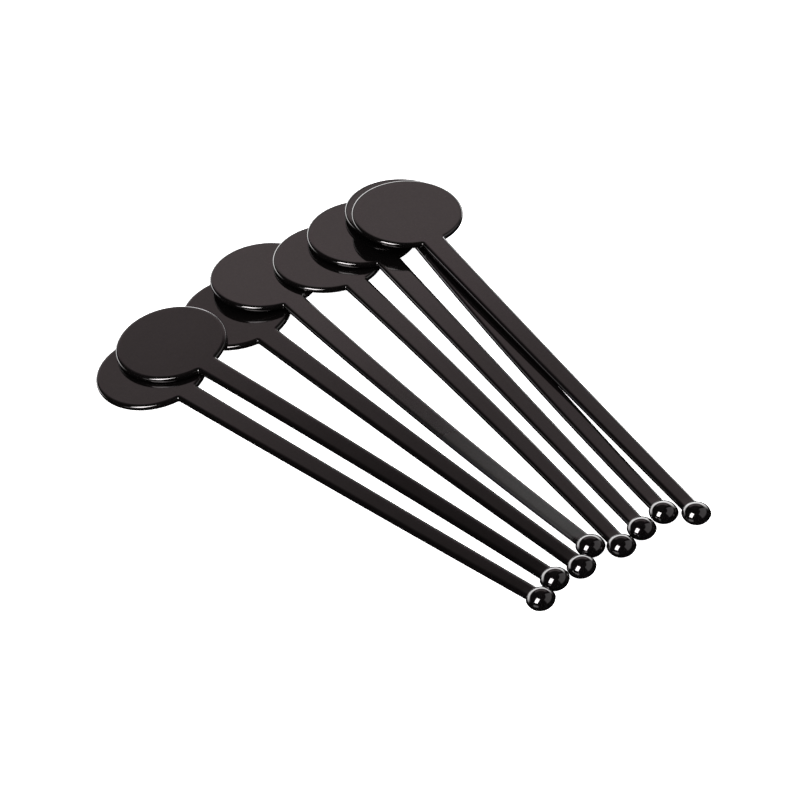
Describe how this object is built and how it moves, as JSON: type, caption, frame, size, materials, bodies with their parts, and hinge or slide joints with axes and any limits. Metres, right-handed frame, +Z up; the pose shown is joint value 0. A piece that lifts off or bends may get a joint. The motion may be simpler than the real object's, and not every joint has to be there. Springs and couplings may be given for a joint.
{
  "type": "disc drink stirrers",
  "caption": "Fanned pile of glossy black disc drink stirrers: flat round disc, tapered flat shaft and flattened ball end, discs resting on one another.",
  "frame": {"origin": "on the table, below the middle of the pile's bounding box", "axes": "+Z up from the table, +Y towards the disc ends, +X towards the last stirrer laid"},
  "size_m": [0.1582, 0.193, 0.0099],
  "materials": {
    "black_plastic": "polished black polystyrene"
  },
  "bodies": {
    "stirrer_1": {"stirrer_1": "black_plastic"},
    "stirrer_2": {"stirrer_2": "black_plastic"},
    "stirrer_3": {"stirrer_3": "black_plastic"},
    "stirrer_4": {"stirrer_4": "black_plastic"},
    "stirrer_5": {"stirrer_5": "black_plastic"},
    "stirrer_6": {"stirrer_6": "black_plastic"},
    "stirrer_7": {"stirrer_7": "black_plastic"},
    "stirrer_8": {"stirrer_8": "black_plastic"}
  },
  "joints": [
    {"name": "lift_3", "type": "slide", "parent": "stirrer_1", "child": "stirrer_3", "axis": [0, 0, 1], "range_m": [0, 0.03]},
    {"name": "lift_2", "type": "slide", "parent": "stirrer_3", "child": "stirrer_2", "axis": [0, 0, 1], "range_m": [0, 0.03]},
    {"name": "lift_4", "type": "slide", "parent": "stirrer_3", "child": "stirrer_4", "axis": [0, 0, 1], "range_m": [0, 0.03]},
    {"name": "lift_5", "type": "slide", "parent": "stirrer_4", "child": "stirrer_5", "axis": [0, 0, 1], "range_m": [0, 0.03]},
    {"name": "lift_6", "type": "slide", "parent": "stirrer_5", "child": "stirrer_6", "axis": [0, 0, 1], "range_m": [0, 0.03]},
    {"name": "lift_7", "type": "slide", "parent": "stirrer_6", "child": "stirrer_7", "axis": [0, 0, 1], "range_m": [0, 0.03]},
    {"name": "lift_8", "type": "slide", "parent": "stirrer_7", "child": "stirrer_8", "axis": [0, 0, 1], "range_m": [0, 0.03]}
  ]
}
